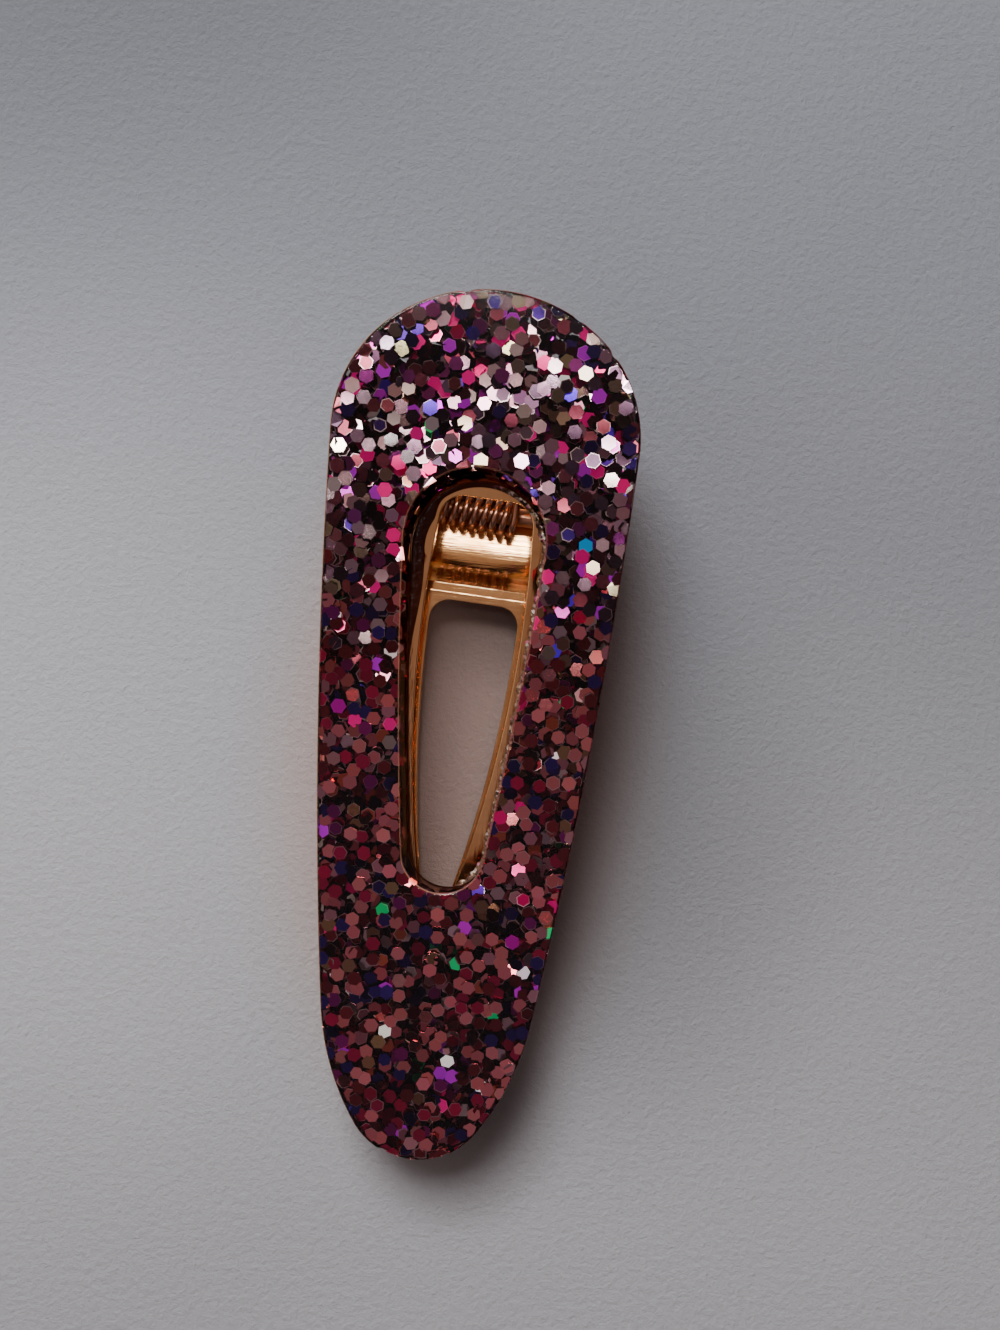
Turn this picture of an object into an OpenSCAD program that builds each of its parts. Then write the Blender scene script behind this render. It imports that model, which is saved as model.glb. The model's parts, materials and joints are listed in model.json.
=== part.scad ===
// Hair clip: a cast resin drop glued on a hollow sprung metal clip, lying closed on a flat surface.
// +Z is up, +Y runs towards the wide end of the drop and X runs across it.
// The origin is on the surface, under the middle of the whole clip.

/* [Resin slab] */
// Length of the drop from its narrow tip to its crown
slab_len = 80; // [76:1:90]
// Thickness of the slab
slab_t = 4.8; // [3:0.1:6]
// Radius of the narrow tip
slab_tip_r = 6.9; // [6.5:0.1:7.2]
// Radius of the shoulders beside the narrow tip
slab_shoulder_r = 26.6; // [24:0.1:28]
// Radius of the cheeks at the wide end
slab_cheek_r = 12.2; // [11.5:0.1:13]

/* [Slab opening] */
// Length of the opening through the slab
opening_len = 38.6; // [36:0.1:40]
// Distance from the slab's narrow tip to the opening
opening_start = 26.2; // [25:0.1:28]
// Radius of the opening's narrow end
opening_tip_r = 3.7; // [3.4:0.1:4]

/* [Metal clip] */
// Thickness of the upper arm's sheet
upper_t = 0.8; // [0.6:0.05:1]
// Thickness of the lower arm's sheet
lower_t = 0.7; // [0.6:0.05:0.8]
// Turn of the metal clip against the slab, as it was glued on
clip_skew = 2; // [0:0.5:3]
// Gap between the two arms at the jaw's tip
jaw_gap = 0.3; // [0.2:0.05:0.5]

/* [Hinge and spring] */
// Distance of the hinge from the middle of the slab, towards the wide end
hinge_y = 21.3; // [21:0.1:21.6]
// Depth of the hinge below the upper arm's underside
hinge_drop = 2.5; // [2.4:0.05:2.6]
// Diameter of the hinge pin
pin_d = 1.7; // [1.4:0.1:1.9]
// Diameter of the spring's wire
wire_d = 0.8; // [0.6:0.05:0.85]
// Outer diameter of the spring's coil
coil_d = 4.2; // [4:0.1:4.2]
// Distance between neighbouring turns of the coil
coil_pitch = 0.95; // [0.9:0.01:1]

/* [Hidden] */

// Outlines are half shapes, symmetric about the Y axis, that run from their lowest point to their
// highest one along arcs. A row of a half outline is [radius, direction of its normal at its end].
slab_foot = [[slab_tip_r, -33], [slab_shoulder_r, -7]];
slab_side_end = -1.14;
slab_cheek = [[slab_cheek_r, 55]];
opening_foot = [[opening_tip_r, -7.4]];
opening_side_end = -2.96;

// The upper arm is a flat frame with a narrower tab behind it. Starts are [x, y] of the lowest point.
upper_start = [1.6, -28.5];
upper_rows = [[3.2, -6], [392, 0], [1.6, 90]];
upper_hole_start = [0, -18.6];
upper_hole_rows = [[1.1, -14.5], [115, 4.7], [2.2, 90]];
tab_start_y = 10;
tab_half_w = 6.9;
tab_end_y = 34.5;
tab_corner_r = 4;

// The lower arm's plan: a frame, the floor between the ears and the lever behind them.
lower_start = [1.6, -27.5];
lower_rows = [[2.6, -6], [360, 0], [1, 90]];
lower_hole_start = [0, -18.35];
lower_hole_rows = [[1.1, -13], [125, 0], [1.9, 90]];
lower_hole_end = lower_hole_start[1] + reach(lower_hole_rows, -90)[1];
floor_half_w = 5.9;
floor_end_y = 24;
lever_half_w = 4.6;
lever_corner_r = 2.4;

// Rows of the lower arm's side profile, [length, turn], from the jaw's tip to the lever's end:
// jaw, jaw, crest, ramp, hollow, floor, bend, lever and lip.
jaw_slope = -2;
lower_profile =
    [[22, -2], [17.3, 0], [1.2, -36], [1.6, 0], [2.2, 40], [7.1, 0], [2, -12.5], [7.2, 0], [1.6, 12.5]];

// The ears stand on edge: the lower arm's between the upper arm's.
upper_ear_x = tab_half_w - upper_t;
upper_ear_r = 2.7;
upper_ear_root = [hinge_y - 3.4, hinge_y + 3.4];
lower_ear_x = floor_half_w - lower_t;
lower_ear_r = 2.1;
lower_ear_root = [hinge_y - 3.6, hinge_y + 2.2];
pin_clear = 0.05;
rivet_r = 1.35;
rivet_t = 0.4;
rivet_gap = 0.05;

// The coil sits off centre on the pin, and its legs run back under the tab and over the lever.
coil_r = (coil_d - wire_d) / 2;
coil_right_x = 2.6;
coil_first = 93;
coil_last = 7 * 360 + 264;
wire_sides = 8;
ring_step = 24;
leg_len = 6.6;

function dir(a) = [cos(a), sin(a)];
function last(v) = v[len(v) - 1];

// Points along an arc, from normal direction a to b, about 2 mm apart.
function arc(c, r, a, b) =
    let (n = max(2, ceil(abs(b - a) * r * PI / 180 / 2)))
    [for (k = [0 : n - 1]) c + r * dir(a + (b - a) * k / n)];

// A half outline from point p, where its normal points along a.
function half_outline(p, rows, a = -90, i = 0) =
    i == len(rows) ? [p] :
    let (r = rows[i][0], b = rows[i][1], c = p - r * dir(a))
    concat(arc(c, r, a, b), half_outline(c + r * dir(b), rows, b, i + 1));

// Both halves of an outline as one ring of points.
function ring(half) =
    concat(half, [for (k = [len(half) - 1 : -1 : 0]) if (half[k][0] > 0.01) [-half[k][0], half[k][1]]]);

// The right half of a tongue that runs back from y0 to y1, with rounded rear corners.
function tongue(half_w, y0, y1, r) =
    concat([[half_w, y0]], arc([half_w - r, y1 - r], r, 0, 90), [[half_w - r, y1]]);

// How far the arcs in rows reach in X and Y, starting from normal direction a.
function reach(rows, a, i = 0) =
    i == len(rows) ? [0, 0] : rows[i][0] * (dir(rows[i][1]) - dir(a)) + reach(rows, rows[i][1], i + 1);

// A drop of the given length. The radii of its long side and of its crown follow from the others,
// so that the outline closes on the Y axis at the top.
function drop_rows(foot, side_end, cheek, length) =
    let (
        foot_end = last(foot)[1],
        side = dir(side_end) - dir(foot_end),
        fixed = reach(foot, -90) + reach(cheek, side_end),
        cheek_end = len(cheek) > 0 ? last(cheek)[1] : side_end,
        crown = [cos(cheek_end), 1 - sin(cheek_end)],
        k = crown[1] / crown[0],
        side_r = (length - fixed[1] - k * fixed[0]) / (side[1] + k * side[0]),
        crown_r = (fixed[0] + side_r * side[0]) / crown[0]
    )
    concat(foot, [[side_r, side_end]], cheek, [[crown_r, 90]]);

// Points [y, z, heading] along a bent strip's middle, with a point every 6 degrees of its bends.
function bend(rows, p, i = 0) =
    i == len(rows) ? [p] :
    let (n = max(1, ceil(abs(rows[i][1]) / 6)))
    concat([for (k = [0 : n - 1]) step(p, rows[i], k / n)], bend(rows, step(p, rows[i], 1), i + 1));

// The point part of the way along a row, which turns evenly over its length.
function step(p, row, part) =
    let (
        turn = row[1] * part,
        half = turn / 2,
        chord = row[0] * part * (turn == 0 ? 1 : sin(half) / (half * PI / 180))
    )
    [p[0] + chord * cos(p[2] + half), p[1] + chord * sin(p[2] + half), p[2] + turn];

// The point at distance d beside p, across its heading.
function side_of(p, d) = [p[0] - d * sin(p[2]), p[1] + d * cos(p[2])];

lower_mid = bend(lower_profile, [lower_start[1], -jaw_gap - lower_t / 2, jaw_slope]);
lower_top = [for (p = lower_mid) side_of(p, lower_t / 2)];
lower_bottom = [for (p = lower_mid) side_of(p, -lower_t / 2)];
floor_z = last([for (p = lower_top) if (p[0] < hinge_y) p])[1];

lever_end_y = last(lower_bottom)[0];
lowest_z = min([for (p = lower_bottom) p[1]]);

// The clip lies on its jaw's tip and on the lowest point behind it, which is on the lever's lip.
// That sets its tilt and its height.
jaw_foot = lower_bottom[0];
rest_tilt = max([for (p = lower_bottom) if (p[0] > 0) atan((jaw_foot[1] - p[1]) / (p[0] - jaw_foot[0]))]);
rest_lift = -jaw_foot[0] * sin(rest_tilt) - jaw_foot[1] * cos(rest_tilt);
rest_shift = (upper_t + slab_t / 2) * sin(rest_tilt);

// Everything is drawn with the metal clip flat: its upper arm's underside at z = 0 and the middle of
// the slab on the Z axis. This lays it down as it rests.
module at_rest() {
    translate([0, rest_shift, rest_lift]) rotate([0, 0, -clip_skew]) rotate([rest_tilt, 0, 0]) children();
}

module plate(half, thickness) {
    linear_extrude(thickness) polygon(ring(half));
}

// Extrudes a shape drawn in Y and Z between two X values.
module across(x0, x1) {
    translate([x0, 0, 0]) rotate([90, 0, 90]) linear_extrude(x1 - x0) children();
}

module resin_slab() {
    slab = half_outline([0, -slab_len / 2], drop_rows(slab_foot, slab_side_end, slab_cheek, slab_len));
    opening = half_outline([0, opening_start - slab_len / 2],
        drop_rows(opening_foot, opening_side_end, [], opening_len));
    color("#6b2f42") at_rest() rotate([0, 0, clip_skew]) translate([0, 0, upper_t])
        difference() {
            plate(slab, slab_t);
            translate([0, 0, -1]) plate(opening, slab_t + 2);
        }
}

// An ear round the hinge, which hangs from or stands on a root at height z, from root[0] to root[1].
module ear(x0, x1, r, z, root) {
    hinge_z = -hinge_drop;
    neck = r * dir(20);
    neck_z = hinge_z + sign(z - hinge_z) * neck[1];
    across(x0, x1) {
        translate([hinge_y, hinge_z]) circle(r, $fn = 48);
        polygon([[root[0], z], [root[1], z], [hinge_y + neck[0], neck_z], [hinge_y - neck[0], neck_z]]);
    }
}

module pin_hole() {
    translate([0, hinge_y, -hinge_drop]) rotate([0, 90, 0])
        cylinder(h = 30, d = pin_d + 2 * pin_clear, center = true, $fn = 32);
}

module upper_arm() {
    color("#c99a4e") at_rest() difference() {
        union() {
            linear_extrude(upper_t) difference() {
                union() {
                    polygon(ring(half_outline(upper_start, upper_rows)));
                    polygon(ring(tongue(tab_half_w, tab_start_y, tab_end_y, tab_corner_r)));
                }
                polygon(ring(half_outline(upper_hole_start, upper_hole_rows)));
            }
            for (side = [-1, 1]) {
                x = side > 0 ? upper_ear_x : -tab_half_w;
                ear(x, x + upper_t, upper_ear_r, upper_t / 2, upper_ear_root);
            }
        }
        pin_hole();
    }
}

// The lower arm is its side profile drawn across, cut to its plan.
module lower_arm() {
    strip = concat(lower_bottom, [for (k = [len(lower_top) - 1 : -1 : 0]) lower_top[k]]);
    color("#c99a4e") at_rest() difference() {
        union() {
            intersection() {
                across(-2 * floor_half_w, 2 * floor_half_w) polygon(strip);
                translate([0, 0, lowest_z - 1]) linear_extrude(1 - lowest_z) lower_plan();
            }
            for (x = [-floor_half_w, lower_ear_x])
                ear(x, x + lower_t, lower_ear_r, floor_z - lower_t / 2, lower_ear_root);
        }
        pin_hole();
    }
}

module lower_plan() {
    difference() {
        polygon(ring(half_outline(lower_start, lower_rows)));
        polygon(ring(half_outline(lower_hole_start, lower_hole_rows)));
    }
    translate([-floor_half_w, lower_hole_end]) square([2 * floor_half_w, floor_end_y - lower_hole_end]);
    polygon(ring(tongue(lever_half_w, hinge_y, lever_end_y, lever_corner_r)));
}

module hinge_pin() {
    rivet_x = tab_half_w + rivet_gap;
    color("#a87b3c") at_rest() translate([0, hinge_y, -hinge_drop]) rotate([0, 90, 0]) {
        cylinder(h = 2 * rivet_x, d = pin_d, center = true, $fn = 32);
        for (z = [-rivet_x - rivet_t, rivet_x])
            translate([0, 0, z]) cylinder(h = rivet_t, r = rivet_r, $fn = 32);
    }
}

// Centre of the wire on the coil: a left-handed helix round the hinge.
function coil_point(a) = [
    coil_right_x - coil_pitch * (a - coil_first) / 360,
    hinge_y + coil_r * cos(a),
    -hinge_drop + coil_r * sin(a)];
function leg_point(a, s) = coil_point(a) + s * [0, -sin(a), cos(a)];

// One ring of the wire's surface at point p, where the wire runs along t.
function wire_ring(p, t) =
    let (side = cross(t, [1, 0, 0]), u = side / norm(side), w = cross(u, t))
    [for (k = [0 : wire_sides - 1])
        let (q = wire_d / 2 * dir(360 * k / wire_sides)) p + q[0] * u + q[1] * w];

module spring() {
    turns = ceil((coil_last - coil_first) / ring_step);
    path = concat(
        [leg_point(coil_first, -leg_len)],
        [for (k = [0 : turns]) coil_point(coil_first + (coil_last - coil_first) * k / turns)],
        [leg_point(coil_last, leg_len)]);
    last_ring = len(path) - 1;
    headings = [for (k = [0 : last_ring]) path[min(k + 1, last_ring)] - path[max(k - 1, 0)]];
    points = [for (k = [0 : last_ring]) each wire_ring(path[k], headings[k] / norm(headings[k]))];
    faces = concat(
        [[for (k = [0 : wire_sides - 1]) k]],
        [for (i = [0 : last_ring - 1], k = [0 : wire_sides - 1])
            let (a = i * wire_sides + k, b = i * wire_sides + (k + 1) % wire_sides)
            [a, a + wire_sides, b + wire_sides, b]],
        [[for (k = [wire_sides - 1 : -1 : 0]) last_ring * wire_sides + k]]);
    color("#7a5230") at_rest() polyhedron(points, faces);
}

resin_slab();
upper_arm();
lower_arm();
hinge_pin();
spring();
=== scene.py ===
"""The looks of a teardrop hair clip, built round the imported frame.

A clear resin drop full of foil flakes is glued on a hollow sprung metal clip. Shapes are worked out in
millimetres on the metal clip's own axes, and go into the frame, in metres, when their mesh is made. On those
axes X runs across the clip and Y from the jaw's tip to the lever. Z points out of the upper arm's top, and
is 0 at that arm's underside, under the middle of the slab.
"""

import json
import math

import bpy
import numpy as np
from bpy.props import FloatProperty, FloatVectorProperty, IntProperty, PointerProperty
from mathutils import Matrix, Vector
from mathutils.geometry import delaunay_2d_cdt


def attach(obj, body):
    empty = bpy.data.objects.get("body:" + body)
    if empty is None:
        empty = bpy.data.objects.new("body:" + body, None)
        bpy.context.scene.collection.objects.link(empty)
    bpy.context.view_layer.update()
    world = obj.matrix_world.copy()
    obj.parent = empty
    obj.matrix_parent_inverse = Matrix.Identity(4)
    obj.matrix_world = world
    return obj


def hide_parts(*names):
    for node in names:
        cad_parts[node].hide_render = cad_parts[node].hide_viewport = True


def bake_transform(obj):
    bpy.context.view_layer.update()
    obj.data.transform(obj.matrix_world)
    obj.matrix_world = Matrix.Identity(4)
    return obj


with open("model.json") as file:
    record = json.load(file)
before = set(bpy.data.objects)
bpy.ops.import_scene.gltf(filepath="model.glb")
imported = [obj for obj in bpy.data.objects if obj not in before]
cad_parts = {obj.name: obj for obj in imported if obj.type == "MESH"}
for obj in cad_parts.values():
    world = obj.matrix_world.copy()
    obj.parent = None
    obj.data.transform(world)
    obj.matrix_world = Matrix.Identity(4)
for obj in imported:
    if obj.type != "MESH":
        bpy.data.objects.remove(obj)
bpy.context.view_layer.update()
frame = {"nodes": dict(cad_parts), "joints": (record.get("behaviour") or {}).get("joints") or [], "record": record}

bl_info = {
    "name": "Glitter Hair Clip",
    "version": (1, 0, 0),
    "blender": (4, 5, 0),
    "location": "3D View > Sidebar > Hair Clip",
    "description": "Builds a resin drop full of foil flakes on a hollow sprung metal clip",
    "category": "Add Mesh",
}

MM = 0.001

# The clip's axes in the frame
HINGE_Y = 21.3
HINGE_DROP = 2.5
joint = frame["joints"][0]
decor_face = next(m for m in frame["record"]["mounts"] if m["name"] == "decor_face")
axis_x = -np.array(joint["axis"])
axis_z = np.array(decor_face["axis"])
METAL_AXES = np.column_stack([axis_x, np.cross(axis_z, axis_x), axis_z])
METAL_ORIGIN = np.array(joint["pos_m"]) / MM - METAL_AXES @ [0, HINGE_Y, -HINGE_DROP]
SKEW = math.atan2(-axis_x[1], axis_x[0])
SLAB_TURN = np.array([[math.cos(SKEW), -math.sin(SKEW), 0], [math.sin(SKEW), math.cos(SKEW), 0], [0, 0, 1]])


def to_frame(points):
    """Points on the clip's axes, in millimetres, as points of the frame, in metres."""
    return (METAL_ORIGIN + points @ METAL_AXES.T) * MM


def slab_to_metal(points):
    """Points over the slab's own underside as points on the clip's axes: turned by the skew and raised."""
    return points @ SLAB_TURN.T + [0, 0, UPPER_T]


def measured(node, axes=METAL_AXES):
    """Lowest and highest corner of a CAD node along the given axes from the clip's origin, in millimetres."""
    mesh = frame["nodes"][node].data
    points = np.empty(len(mesh.vertices) * 3)
    mesh.vertices.foreach_get("co", points)
    along = (points.reshape(-1, 3) / MM - METAL_ORIGIN) @ axes
    return along.min(0), along.max(0)


slab_low, slab_high = measured("resin_slab", METAL_AXES @ SLAB_TURN)
upper_low, upper_high = measured("upper_arm")
lower_low = measured("lower_arm")[0]
pin_high = measured("hinge_pin")[1]

# The slab and its opening. Arcs are rows of a radius and the direction that the outline faces at their end.
UPPER_T = slab_low[2]
SLAB_T = slab_high[2] - slab_low[2]
SLAB_LEN = slab_high[1] - slab_low[1]
SLAB_FOOT = ((6.9, -33), (26.6, -7))
SLAB_SIDE_END = -1.14
SLAB_CHEEK = ((12.2, 55),)
OPENING_START = 26.2
OPENING_LEN = 38.6
OPENING_FOOT = ((3.7, -7.4),)
OPENING_SIDE_END = -2.96
OPENING_LEAN = (0.35, -0.95)
SLAB_STEP = 0.25

# Nicks in the slab's upper edge, over the slab's underside: x, y, radius and depth
NICK_Z = 4.8
NICKS = (
    (-2.84, 39.63, 0.75, 0.3), (-1.9, 39.8, 0.4, 0.2), (7.07, 38.39, 0.6, 0.25), (10.43, 35.54, 0.7, 0.25),
    (-2.47, -39.3, 0.9, 0.3), (-1.5, -39.7, 0.5, 0.25), (3.2, -38.9, 0.5, 0.2),
)

# The outlines of the metal sheet, cut before it is folded
TIP_HALF_W = 1.6
UPPER_SIDE = ((3.2, -6), (392, 0))
UPPER_HOLE_START = -18.6
UPPER_HOLE = ((1.1, -14.5), (115, 4.7), (2.2, 90))
TAB_EDGE_Y = 30.5
TAB_CORNER_R = 4
LOWER_SIDE = ((2.6, -6), (360, 0), (0.4, 50), (0.4, 0))
LOWER_HOLE_START = -18.35
LOWER_HOLE = ((1.1, -13), (125, 0), (1.9, 90))
LEVER_NECK_R = 0.3
LEVER_CORNER_R = 2.4
PIN_HOLE_R = 0.9
SLIT_R = 0.1
CORNER_R = 0.15

# The folds. The lower arm's profile is rows of a length and a turn in degrees.
LOWER_T = 0.7
JAW_GAP = 0.3
JAW_SLOPE = -2
LOWER_PROFILE = (
    (22, -2), (18.8, 0), (0.05, -14), (0.7, 0), (0.05, -20), (1.2, 0), (1.25, 16), (1.2, 9), (1.0, 4),
    (1.8, 1.5), (3.1, 9.5), (2, -11.5), (7.2, 0), (1.6, 9.5),
)
FLOOR_END = 23.17
EAR_ROOT_START = 13.5
EAR_ROOT_END = 26

# How finely the sheet is made
SHEET_EDGE = 0.13
SHEET_STEP = 0.2
LATTICE_STEP = 0.6
LATTICE_HALF_W = 6
EDGE_STEPS = 4
BEND_STEP = 1.5

# The hinge pin and the spring, with angles in degrees
PIN_R = 0.85
RIVET_R = 1.35
RIVET_T = 0.4
RIVET_RIM = 0.12
RIVET_DOME = 0.6
WIRE_R = 0.36
COIL_R = 1.42
COIL_RIGHT_X = 2.6
COIL_PITCH = 0.95
COIL_FIRST = 96
COIL_LAST = 7 * 360 + 256
COIL_ASKEW = -4
COIL_STEP = 9.0
LEG_START = 0.4
LEG_LEN = 6.6
LEG_ROUND = 0.3
LEG_ROUNDING = np.radians([30, 60, 85])

# Foils as red, green, blue, how metallic, and share, for the wide end and for the rest of the drop. The two ends
# differ partly in their foils and partly as painted light: grey mauve at the wide end and rose below stand in for
# how light falls there, and the near-white foils serve also as painted sparkles
WIDE_FOILS = np.array([
    (0.46, 0.31, 0.39, 0.95, 18), (0.27, 0.23, 0.17, 0.95, 12), (0.13, 0.03, 0.045, 0.9, 22),
    (0.33, 0.05, 0.29, 0.9, 8), (0.03, 0.01, 0.14, 0.8, 7), (0.05, 0.03, 0.05, 0.9, 15),
    (1.00, 0.96, 0.95, 0.9, 6.5), (1.00, 0.80, 0.92, 0.9, 2.5), (1.00, 0.00, 0.28, 0.2, 11),
    (0.58, 0.00, 0.74, 0.2, 4.5), (0.10, 0.00, 1.00, 0.2, 0.7), (0.00, 0.90, 0.20, 0.15, 1.2),
    (0.80, 0.95, 0.50, 0.7, 1), (0.00, 0.45, 1.00, 0.1, 0.3), (0.95, 0.60, 0.35, 0.8, 0.6),
    (1.00, 0.97, 0.95, 0.0, 0.8),
])
REST_FOILS = np.array([
    (0.88, 0.29, 0.31, 0.95, 36), (0.56, 0.27, 0.33, 0.95, 8), (0.55, 0.01, 0.10, 0.6, 13),
    (0.32, 0.00, 0.24, 0.6, 5), (0.04, 0.01, 0.22, 0.7, 7), (0.34, 0.22, 0.11, 0.9, 5),
    (0.20, 0.02, 0.03, 0.9, 12), (1.00, 0.95, 0.95, 0.5, 4.4), (0.95, 0.52, 0.60, 0.8, 2.5),
    (1.00, 0.00, 0.28, 0.2, 1.8), (0.58, 0.00, 0.74, 0.2, 1.6), (0.00, 0.60, 0.18, 0.15, 0.8),
    (0.80, 0.22, 0.12, 0.8, 3.0), (1.00, 0.97, 0.95, 0.0, 2.2),
])
FOIL_CHANGE_Y = (4, 22)

# Places of the flakes: the lattice's pitch in flake widths, how far it is shaken, and the cover near the rim
FLAKE_PITCH = 1.04
FLAKE_SHAKE = 0.22
DEPTH_SHAKE = 0.1
RIM_LAYERS = 4
RIM_COVER = 0.92
RIM_REACH = (0.6, 1.8)

# Shapes of the flakes: how they differ in size, and how far they may tip and keep from the skin and the walls
FLAKE_SIZES = (0.93, 1.05)
MOST_TIP = 1.2
MOST_REACH = 0.94
SKIN_GAP = 0.08
FLAKE_INSET = 0.12
WALL_REACH = (0.1, 0.8)

# Colours of the flakes: what a foil is picked by at the top and below, the painted shade that darkens flakes far
# from the skin, the painted glow of hot foils, and where the painted highlight lines on their edges lie
TOP_DEPTH = 0.45
TOP_CHANCE = 0.84
DEEP_POWER = 0.8
HOT_METAL = 0.25
HOT_SHADE_SHARE = 0.4
HOT_DEPTH = 1.3
DEEP_METAL = 0.4
DEPTH_SHADE_POWERS = (1.0, 1.3, 1.2)
FOIL_LIGHTNESS = (0.75, 1.2)
FOIL_HUES = (0.92, 1.08)
EDGE_HIGHLIGHT_PLACES = (0.85, 1.1)

# The glue on the ledge round the opening, which on the left widens into a dark film of painted shade
GLUE_WAVES = ((0.2, 1.7, 1), (0.15, 4.3, 0), (0.1, 9.1, 2))
# Width of the dark film of painted shade on the left, and where it widens
LEFT_SHADE_FILM = (0.1, 1.1)
LEFT_SHADE_FILM_RISE = (7, 16)
GLUE_RIGHT_RISE = (-1.5, 1.5)
GLUE_BACK = 0.42
GLUE_BACK_RISE = (21.5, 23.5)
GLUE_LEDGE = 0.85
GLUE_LEAST = 0.02
GLUE_MOST_HEIGHT = 0.5
GLUE_SECTION = ((0, 0, 0), (1, 0.05, 0), (0.9, 0.05, 0.15), (0.4, 0.05, 0.35), (0.1, 0, 0.8))
GLUE_GLITTER = (
    (0.0, (0.04, 0.02, 0.015, 1)), (0.4, (0.16, 0.08, 0.05, 1)), (0.7, (0.4, 0.25, 0.15, 1)),
    (0.88, (0.9, 0.8, 0.7, 1)), (0.96, (0.7, 0.15, 0.3, 1)),
)

# The paper and its tones of painted light and shade, in metres
PAPER_HALF_W = 0.6
PAPER_TONE = 0.46
# Painted light: the paper lighter towards the front, and a painted pool of light on the left
FRONT_LIGHT_TONE = (0.22, -0.05, 0.03)
LIGHT_POOL_TONE = (0.36, 0.0, 0.075)
LIGHT_POOL_PLACE = (-0.048, 0.008, 0.0)
# Painted shade on the paper far behind on the left
FAR_SHADE_TONE = (0.3, 0.02, 0.07)
FAR_SHADE_PLACE = (-0.055, 0.085, 0.0)
# A painted shadow on the paper beside the clip, over a distance that is scaled and shifted
SIDE_SHADOW_TONE = (0.38, 0.15, 1.0)
SIDE_SHADOW_SCALE = (30, 25, 1)
SIDE_SHADOW_SHIFT = (-0.4, 0.25, 0)
# Painted shade on the paper under the top of the opening
HOLE_SHADE_TONE = (0.35, 0.001, 0.01)
HOLE_SHADE_PLACE = (0.0038, 0.0125, 0.0)
# A painted dark brown shadow on the paper under the slab's tip
TIP_SHADOW_TONE = (0.6, 0.003, 0.013)
TIP_SHADOW_PLACE = (0.004, -0.038, 0.0)

# The lamps and the camera, in metres and millimetres, and its roll in degrees
WINDOW_PLACE = (-0.28, 0.66, 0.60)
WINDOW_SIZE = (0.52, 0.46)
STRIP_PLACE = (-0.3, 0.77, 4.0)
STRIP_SIZE = (3.0, 0.24)
VEIL_PLACE = (-0.3, 1.0, 4.1)
VEIL_SIZE = (3.4, 0.7)
CAMERA_PLACE = (0.003398, 0.00741, 0.099635)
CAMERA_ROLL = 6.14
CAMERA_LENS = 27.07
CAMERA_SENSOR = 36.0

# The room's light, from left to right, and patches of it: their sides, ends, softness and colour
ROOM_LEFT = (0.2, 0.18, 0.17, 1)
ROOM_RIGHT = (0.07, 0.055, 0.05, 1)
ROOM_PATCHES = (
    ((-0.6, 0.6), (-1.1, 0.2), 0.3, (0.28, 0.215, 0.235)),
    ((-0.25, 0.25), (-0.2, 0.04), 0.08, (0.24, 0.165, 0.16)),
    ((-0.5, 0.3), (0.3, 0.75), 0.1, (0.34, 0.24, 0.21)),
    ((-2.2, -1.0), (-0.8, 0.6), 0.3, (0.9, 0.8, 0.72)),
)


def facing(angle):
    """Unit vectors in the directions of angles in degrees."""
    turn = np.radians(angle)
    return np.stack([np.cos(turn), np.sin(turn)], -1)


def smooth(value, low, high):
    """0 below low and 1 above high, with an S-shaped rise between."""
    part = np.clip((value - low) / (high - low), 0, 1)
    return part * part * (3 - 2 * part)


class Pen:
    """Draws the right half of an outline anticlockwise, from its lowest point to its highest, on the Y axis.

    The pen's normal is the direction, in degrees, that faces out of the outline where the pen is.
    """

    def __init__(self, x, y, step):
        self.at = np.array([x, y], float)
        self.normal = -90.0
        self.step = step
        self.points = [self.at[None]]
        self.normals = [facing(np.array([self.normal]))]

    def add(self, points, angles):
        self.points.append(points)
        self.normals.append(facing(angles))
        self.at = points[-1]
        self.normal = angles[-1]
        return self

    def line(self, length):
        """A straight stretch, at a right angle to the normal."""
        count = max(1, math.ceil(length / self.step))
        run = np.linspace(0, length, count + 1)[1:, None]
        return self.add(self.at + run * facing(self.normal + 90), np.full(count, self.normal))

    def to_x(self, x):
        return self.line((x - self.at[0]) / facing(self.normal + 90)[0])

    def to_y(self, y):
        return self.line((y - self.at[1]) / facing(self.normal + 90)[1])

    def arc(self, radius, normal):
        """An arc to a new normal. It bulges outwards where the normal's angle grows, and else inwards."""
        turn = normal - self.normal
        count = max(4, math.ceil(abs(turn) / 12), math.ceil(abs(math.radians(turn)) * radius / self.step))
        angles = np.linspace(self.normal, normal, count + 1)[1:]
        shift = math.copysign(radius, turn) * (facing(angles) - facing(self.normal))
        return self.add(self.at + shift, angles)

    def arcs(self, rows):
        for radius, normal in rows:
            self.arc(radius, normal)
        return self

    def ring(self):
        """The half and its mirror image as one anticlockwise loop: its points and their normals."""
        points, normals = np.concatenate(self.points), np.concatenate(self.normals)
        off_axis = points[:, 0] > 1e-4
        return tuple(np.concatenate([a, (a[off_axis] * [-1, 1])[::-1]]) for a in (points, normals))


def drop(start_y, length, foot, side_end, cheek):
    """A drop's outline as a ring. The radii of its long side and its crown follow from its other arcs.

    Each arc reaches its radius times the difference of its end normals, and all of them together reach from
    the lowest point to the highest one on the Y axis.
    """
    def reach(rows, normal):
        total = np.zeros(2)
        for radius, end in rows:
            total = total + radius * (facing(end) - facing(normal))
            normal = end
        return total

    side = facing(side_end) - facing(foot[-1][1])
    fixed = reach(foot, -90) + reach(cheek, side_end)
    crown_start = facing(cheek[-1][1] if cheek else side_end)
    slope = (1 - crown_start[1]) / crown_start[0]
    side_r = (length - fixed[1] - slope * fixed[0]) / (side[1] + slope * side[0])
    crown_r = (fixed[0] + side_r * side[0]) / crown_start[0]
    return Pen(0, start_y, SLAB_STEP).arcs((*foot, (side_r, side_end), *cheek, (crown_r, 90))).ring()


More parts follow.
